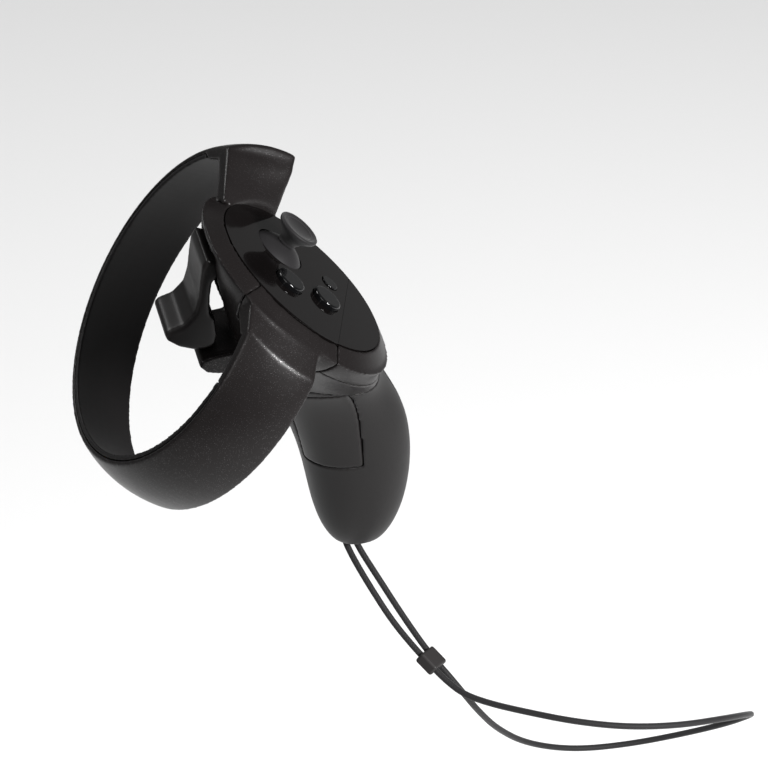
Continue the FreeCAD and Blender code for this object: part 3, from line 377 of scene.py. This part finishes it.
# ---------------------------------------------------------------- modelling helpers
class Bench:
    """Works on one object at a time with operators."""

    @staticmethod
    def clear() -> None:
        """Deselects everything."""
        if bpy.context.object and bpy.context.object.mode != "OBJECT":
            bpy.ops.object.mode_set(mode="OBJECT")
        bpy.ops.object.select_all(action="DESELECT")

    @staticmethod
    def pick(piece: bpy.types.Object) -> None:
        """Makes one object the only selected and active one."""
        Bench.clear()
        piece.select_set(True)
        bpy.context.view_layer.objects.active = piece

    @staticmethod
    def modify(piece: bpy.types.Object, kind: str, **settings: object) -> None:
        """Adds a modifier and applies it."""
        Bench.pick(piece)
        made = piece.modifiers.new(kind.lower(), kind)
        for name, value in settings.items():
            setattr(made, name, value)
        bpy.ops.object.modifier_apply(modifier=made.name)

    @staticmethod
    def smooth(piece: bpy.types.Object, degrees: float = 40.0) -> None:
        """Shades smooth below an angle."""
        Bench.pick(piece)
        bpy.ops.object.shade_smooth_by_angle(angle=math.radians(degrees))

    @staticmethod
    def copy_of(node: bpy.types.Object, name: str) -> bpy.types.Object:
        """Copies a CAD node with its own merged mesh.

        Args:
            node: the CAD node.
            name: the new piece's name.

        Returns:
            The piece.
        """
        piece = bpy.data.objects.new(name, node.data.copy())
        bpy.context.scene.collection.objects.link(piece)
        Bench.pick(piece)
        bpy.ops.object.mode_set(mode="EDIT")
        bpy.ops.mesh.select_all(action="SELECT")
        bpy.ops.mesh.remove_doubles(threshold=0.000002)
        bpy.ops.mesh.customdata_custom_splitnormals_clear()
        bpy.ops.object.mode_set(mode="OBJECT")
        return piece


@dataclass
class Softened:
    """A CAD node's shape with moulded radii on its edges; kept is the share of its faces left at the end."""

    node: str
    body: Body
    voxel: float
    passes: int
    slot: str
    melt: dict[str, object] = field(default_factory=dict)
    kept: float = 1.0

    def build(self, frame: dict, palette: Palette) -> bpy.types.Object:
        """Remeshes a copy evenly and relaxes its corners.

        Args:
            frame: the loaded frame.
            palette: the finishes.

        Returns:
            The piece that stands for the node.
        """
        piece = Bench.copy_of(frame["nodes"][self.node], self.node + "_moulded")
        Bench.modify(piece, "REMESH", mode="VOXEL", voxel_size=self.voxel, use_smooth_shade=True)
        Bench.modify(piece, "SMOOTH", factor=0.5, iterations=self.passes)
        self._relax(piece)
        if self.kept < 1.0:
            Bench.modify(piece, "DECIMATE", ratio=self.kept)
        palette.dress(piece, self.slot)
        Bench.smooth(piece, SHARP_EDGE)
        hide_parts(self.node)
        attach(piece, self.body.value)
        return piece

    def _relax(self, piece: bpy.types.Object) -> None:
        """Gives chosen places a larger radius: each is a centre, a reach and a number of passes."""
        for label, (centre, reach, passes) in self.melt.items():
            group = piece.vertex_groups.new(name=label)
            middle = Vector(centre)
            for vertex in piece.data.vertices:
                near = 1.0 - (vertex.co - middle).length / reach
                if near > 0:
                    group.add([vertex.index], min(1.0, near * 2.0), "REPLACE")
            Bench.modify(piece, "SMOOTH", factor=0.5, iterations=passes, vertex_group=label)


# ---------------------------------------------------------------- camera, light and floor
@dataclass
class Studio:
    """Camera, soft lights and a pale floor."""

    focus: Point = (0.0, 0.013, 0.062)
    offset: Point = (-0.6983, 0.1316, 0.5535)
    right: Point = (-0.25, -0.9673, -0.041)
    up: Point = (0.616, -0.1916, 0.7644)
    back: Point = (-0.747, 0.1655, 0.6435)
    lens: float = 139.6
    sensor: float = 36.0
    floor_level: float = -0.40

    def build(self) -> None:
        """Makes the camera, the floor and the lights."""
        self._camera()
        self._floor()
        self._world()
        self._light("key", (-0.85, -0.62, 0.62), 0.4, 50.0)
        self._light("fill", (-0.8, 1.0, 1.1), 0.9, 10.0)
        self._light("rim", (0.9, 0.8, 1.0), 0.6, 12.0)

    def _camera(self) -> None:
        """Puts the camera at the asked angle."""
        data = bpy.data.cameras.new("camera")
        data.lens = self.lens
        data.sensor_width = self.sensor
        data.clip_start = 0.01
        camera = bpy.data.objects.new("camera", data)
        bpy.context.scene.collection.objects.link(camera)
        turn = Matrix((self.right, self.up, self.back)).transposed()
        turn = turn.to_quaternion().normalized().to_matrix()
        place = Vector(self.focus) + Vector(self.offset)
        camera.matrix_world = Matrix.Translation(place) @ turn.to_4x4()
        bpy.context.scene.camera = camera

    def _floor(self) -> None:
        """A pale floor well below the hand-held part."""
        Bench.clear()
        bpy.ops.mesh.primitive_plane_add(size=60.0, location=(0.0, 0.0, self.floor_level))
        floor = bpy.context.object
        floor.name = "floor"
        material = bpy.data.materials.new("floor")
        material.use_nodes = True
        shader = material.node_tree.nodes["Principled BSDF"]
        shader.inputs["Base Color"].default_value = (0.62, 0.62, 0.62, 1.0)
        shader.inputs["Roughness"].default_value = 0.8
        shader.inputs["Emission Color"].default_value = (1.0, 1.0, 1.0, 1.0)
        shader.inputs["Emission Strength"].default_value = 0.02
        floor.data.materials.append(material)

    def _world(self) -> None:
        """An even pale surround."""
        world = bpy.data.worlds.new("studio")
        world.use_nodes = True
        world.node_tree.nodes["Background"].inputs["Color"].default_value = (0.9, 0.9, 0.9, 1.0)
        world.node_tree.nodes["Background"].inputs["Strength"].default_value = 0.24
        bpy.context.scene.world = world
        bpy.context.scene.view_settings.view_transform = "Standard"

    def _light(self, name: str, place: Point, size: float, power: float) -> None:
        """Adds a square soft light aimed at the part."""
        data = bpy.data.lights.new(name, "AREA")
        data.size = size
        data.energy = power
        light = bpy.data.objects.new(name, data)
        bpy.context.scene.collection.objects.link(light)
        light.location = place
        aim = Vector(self.focus) - Vector(place)
        light.rotation_euler = aim.to_track_quat("-Z", "Y").to_euler()


# ---------------------------------------------------------------- lanyard
@dataclass
class Lanyard:
    """Braided loop, from the handle through the slider and round the wrist."""

    diameter: float = 0.0021
    length: float = 0.4151
    sides: int = 24
    yarn_pairs: int = 4
    yarn_height: float = 0.00009
    route: tuple[Point, ...] = (
        (-0.0005, 0.0066, -0.0375), (-0.0005, 0.0066, -0.042), (-0.0038, 0.0063, -0.046),
        (-0.0095, 0.0048, -0.0496), (-0.0175, 0.0018, -0.055), (-0.0266, -0.0026, -0.0626),
        (-0.0346, -0.0074, -0.0682), (-0.0402, -0.0112, -0.0718), (-0.046, -0.0154, -0.0756),
        (-0.0514, -0.0198, -0.0778), (-0.0574, -0.027, -0.0782), (-0.0645, -0.0368, -0.0778),
        (-0.0722, -0.0503, -0.0785), (-0.0769, -0.0662, -0.0811), (-0.0768, -0.0841, -0.0859),
        (-0.0713, -0.102, -0.0935), (-0.062, -0.114, -0.1045), (-0.0514, -0.1188, -0.117),
        (-0.0419, -0.1138, -0.1295), (-0.035, -0.0995, -0.1376), (-0.0306, -0.082, -0.1417),
        (-0.0297, -0.0629, -0.1393), (-0.0324, -0.0457, -0.1282), (-0.0382, -0.034, -0.1115),
        (-0.0434, -0.0264, -0.0955), (-0.0449, -0.0214, -0.0845), (-0.0426, -0.0174, -0.0776),
        (-0.0372, -0.0134, -0.0729), (-0.0314, -0.0102, -0.0688), (-0.023, -0.0059, -0.0621),
        (-0.014, -0.0014, -0.0542), (-0.007, 0.002, -0.0484), (-0.0026, 0.0033, -0.0452),
        (-0.0005, 0.0034, -0.042), (-0.0005, 0.0034, -0.0375),
    )

    def build(self, frame: dict, palette: Palette) -> None:
        """Args:
            frame: not used.
            palette: the finishes.
        """
        line = self._line()
        cord = self._tube(line)
        palette.dress(cord, "cord_braid")
        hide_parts("lanyard_cord")
        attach(cord, Body.HOUSING.value)

    def _line(self) -> list[Point]:
        """Reads points along the route's smooth spline.

        Returns:
            Points in metres, evenly enough spaced for the tube.
        """
        data = bpy.data.curves.new("lanyard_route", "CURVE")
        data.dimensions = "3D"
        spline = data.splines.new("NURBS")
        spline.points.add(len(self.route) - 1)
        for point, place in zip(spline.points, self.route):
            point.co = (*place, 1.0)
        spline.order_u = 3
        spline.use_endpoint_u = True
        data.resolution_u = 56
        guide = bpy.data.objects.new("lanyard_route", data)
        bpy.context.scene.collection.objects.link(guide)
        mesh = bpy.data.meshes.new_from_object(guide)
        points = [tuple(vertex.co) for vertex in mesh.vertices]
        bpy.data.objects.remove(guide)
        bpy.data.meshes.remove(mesh)
        return points

    def _yarns(self, turn: float, along: float) -> float:
        """Height of the braid's crossing yarns.

        Args:
            turn: share of a turn round the cord.
            along: diameters along it.

        Returns:
            From 0 between yarns to 1 on top of one.
        """
        ridges = [abs(math.sin(2 * math.pi * (self.yarn_pairs * turn + way * along))) for way in (-1, 1)]
        return max(ridges)

    def _tube(self, line: list[Point]) -> bpy.types.Object:
        """Builds the round braid with its UV round and along the cord.

        Args:
            line: points of the cord's centre.

        Returns:
            The tube.
        """
        points = [Vector(p) for p in line]
        normal = Vector((1.0, 0.0, 0.0))
        before = (points[1] - points[0]).normalized()
        normal = (normal - before * normal.dot(before)).normalized()
        run = 0.0
        verts: list[Vector] = []
        marks: list[float] = []
        for i, centre in enumerate(points):
            ahead = points[min(i + 1, len(points) - 1)] - points[max(i - 1, 0)]
            ahead.normalize()
            turn: Quaternion = before.rotation_difference(ahead)
            normal = turn @ normal
            before = ahead
            side = ahead.cross(normal)
            if i:
                run += (centre - points[i - 1]).length
            marks.append(run / self.diameter)
            for k in range(self.sides):
                angle = 2 * math.pi * k / self.sides
                radius = self.diameter / 2 - self.yarn_height * (1.0 - self._yarns(k / self.sides, marks[-1]))
                verts.append(centre + (normal * math.cos(angle) + side * math.sin(angle)) * radius)
        count = self.sides
        faces = []
        lay = []
        for i in range(len(points) - 1):
            for k in range(count):
                after = (k + 1) % count
                faces.append((i * count + k, i * count + after, (i + 1) * count + after, (i + 1) * count + k))
                left, right = k / count, (k + 1) / count
                lay += [(left, marks[i]), (right, marks[i]), (right, marks[i + 1]), (left, marks[i + 1])]
        last = (len(points) - 1) * count
        faces.append(tuple(reversed(range(count))))
        faces.append(tuple(range(last, last + count)))
        lay += [(0.0, 0.0)] * (2 * count)
        mesh = bpy.data.meshes.new("lanyard_braid")
        mesh.from_pydata(verts, [], faces)
        uv = mesh.uv_layers.new(name="braid")
        for loop, place in zip(uv.data, lay):
            loop.uv = place
        cord = bpy.data.objects.new("lanyard_braid", mesh)
        bpy.context.scene.collection.objects.link(cord)
        Bench.smooth(cord)
        return cord


# ---------------------------------------------------------------- sub-assemblies
@dataclass
class TrackingRing:
    """Flared ring with its two roots."""

    voxel: float = 0.0004
    kept: float = 0.55
    outer_passes: int = 14
    inner_passes: int = 6
    right_root: Point = (0.038, 0.010, 0.082)
    left_root: Point = (-0.030, 0.018, 0.066)

    def build(self, frame: dict, palette: Palette) -> None:
        """Moulds both shells."""
        melt = {"right_root": (self.right_root, 0.026, 70), "left_root": (self.left_root, 0.018, 40)}
        outer = Softened("ring_outer_shell", Body.HOUSING, self.voxel, self.outer_passes, "satin_black",
                         melt, self.kept)
        outer.build(frame, palette)
        inner = Softened("ring_inner_shell", Body.HOUSING, self.voxel, self.inner_passes, "infrared_black",
                         kept=self.kept)
        inner.build(frame, palette)


@dataclass
class Head:
    """Head casing and rear bezel."""

    voxel: float = 0.0005
    passes: int = 5

    def build(self, frame: dict, palette: Palette) -> None:
        """Moulds the head shell and the bezel."""
        melt = {"lip": ((0.0, 0.047, 0.043), 0.016, 14)}
        head = Softened("head_shell", Body.HOUSING, self.voxel, self.passes, "satin_black", melt)
        head.build(frame, palette)
        bezel = Softened("rear_bezel", Body.HOUSING, self.voxel, self.passes, "satin_black")
        bezel.build(frame, palette)


@dataclass
class Triggers:
    """Index lever and middle-finger lever."""

    voxel: float = 0.0004
    index_passes: int = 30
    grip_passes: int = 8

    def build(self, frame: dict, palette: Palette) -> None:
        """Moulds both levers."""
        index = Softened("index_trigger", Body.INDEX, self.voxel, self.index_passes, "trigger_satin")
        index.build(frame, palette)
        grip = Softened("grip_trigger", Body.GRIP, self.voxel, self.grip_passes, "trigger_satin")
        grip.build(frame, palette)


@dataclass
class Handle:
    """Two halves of the handle and the battery cover."""

    voxel: float = 0.0005
    passes: int = 4

    def build(self, frame: dict, palette: Palette) -> None:
        """Moulds the handle's visible shells."""
        for node in ("handle_left", "handle_right"):
            half = Softened(node, Body.HOUSING, self.voxel, self.passes, "handle_plastic")
            half.build(frame, palette)
        cover = Softened("battery_cover", Body.COVER, self.voxel, self.passes, "handle_plastic")
        cover.build(frame, palette)


@dataclass
class Thumbstick:
    """Flared rubber cap with a dished, ringed top; its profile is (radius, height), all in mm."""

    centre: tuple[float, float] = (9.6, 6.5)
    plate_centre: Point = (0.0, 13.0, 62.0)
    tilt: float = 45.0
    sides: int = 96
    sharp: float = 50.0
    profile: tuple[tuple[float, float], ...] = (
        (1.4, 3.05), (3.05, 3.05), (3.0, 3.6), (3.15, 4.2), (3.6, 4.9), (4.25, 5.6), (4.95, 6.3), (5.6, 6.9),
        (6.2, 7.5), (6.7, 8.1), (6.95, 8.6), (7.0, 8.9), (6.9, 9.22), (6.6, 9.42), (6.2, 9.48), (5.8, 9.38),
        (5.4, 9.16), (5.1, 9.04), (4.95, 9.08), (4.75, 9.06), (4.6, 8.94), (4.0, 8.74), (2.8, 8.5),
        (1.4, 8.36), (0.5, 8.32),
    )

    def build(self, palette: Palette) -> None:
        """Turns the cap's profile and sets it on the plate's stick axis."""
        Bench.clear()
        radius, height = self.profile[0]
        bpy.ops.mesh.primitive_circle_add(vertices=self.sides, radius=radius / MM_PER_M,
                                          fill_type="NOTHING", location=(0.0, 0.0, height / MM_PER_M))
        cap = bpy.context.object
        cap.name = "stick_cap_rubber"
        bpy.ops.object.transform_apply(location=True, rotation=True, scale=True)
        bpy.ops.object.mode_set(mode="EDIT")
        bpy.ops.mesh.select_all(action="SELECT")
        for (r0, z0), (r1, z1) in zip(self.profile, self.profile[1:]):
            bpy.ops.mesh.extrude_edges_move()
            bpy.ops.transform.translate(value=(0.0, 0.0, (z1 - z0) / MM_PER_M))
            bpy.ops.transform.resize(value=(r1 / r0, r1 / r0, 1.0),
                                     center_override=(0.0, 0.0, z1 / MM_PER_M))
        bpy.ops.mesh.edge_face_add()
        bpy.ops.object.mode_set(mode="OBJECT")
        self._close_bore(cap)
        turn = Matrix.Rotation(math.radians(self.tilt), 4, "X")
        shift = Matrix.Translation(Vector(self.plate_centre) / MM_PER_M)
        across, ahead = self.centre
        place = Matrix.Translation((across / MM_PER_M, ahead / MM_PER_M, 0.0))
        cap.data.transform(shift @ turn @ place)
        cap.data.update()
        Bench.smooth(cap, self.sharp)
        palette.dress(cap, "stick_rubber")
        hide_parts("stick_cap")
        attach(cap, Body.STICK.value)

    @staticmethod
    def _close_bore(cap: bpy.types.Object) -> None:
        """Closes the underside and turns every face outwards."""
        Bench.pick(cap)
        bpy.ops.object.mode_set(mode="EDIT")
        bpy.ops.mesh.select_all(action="SELECT")
        bpy.ops.mesh.fill_holes(sides=0)
        bpy.ops.mesh.normals_make_consistent(inside=False)
        bpy.ops.object.mode_set(mode="OBJECT")


def main() -> None:
    """Builds the scene round the frame."""
    logging.basicConfig(level=logging.INFO, format="%(name)s: %(message)s")
    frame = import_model()
    palette = Palette()
    palette.dress_nodes(frame)
    Studio().build()
    LOG.info("studio ready")
    Lanyard().build(frame, palette)
    LOG.info("lanyard made")
    TrackingRing().build(frame, palette)
    LOG.info("ring made")
    Head().build(frame, palette)
    Triggers().build(frame, palette)
    Handle().build(frame, palette)
    LOG.info("head, triggers and handle made")
    Thumbstick().build(palette)
    LOG.info("thumbstick made")


if __name__ == "__main__":
    main()
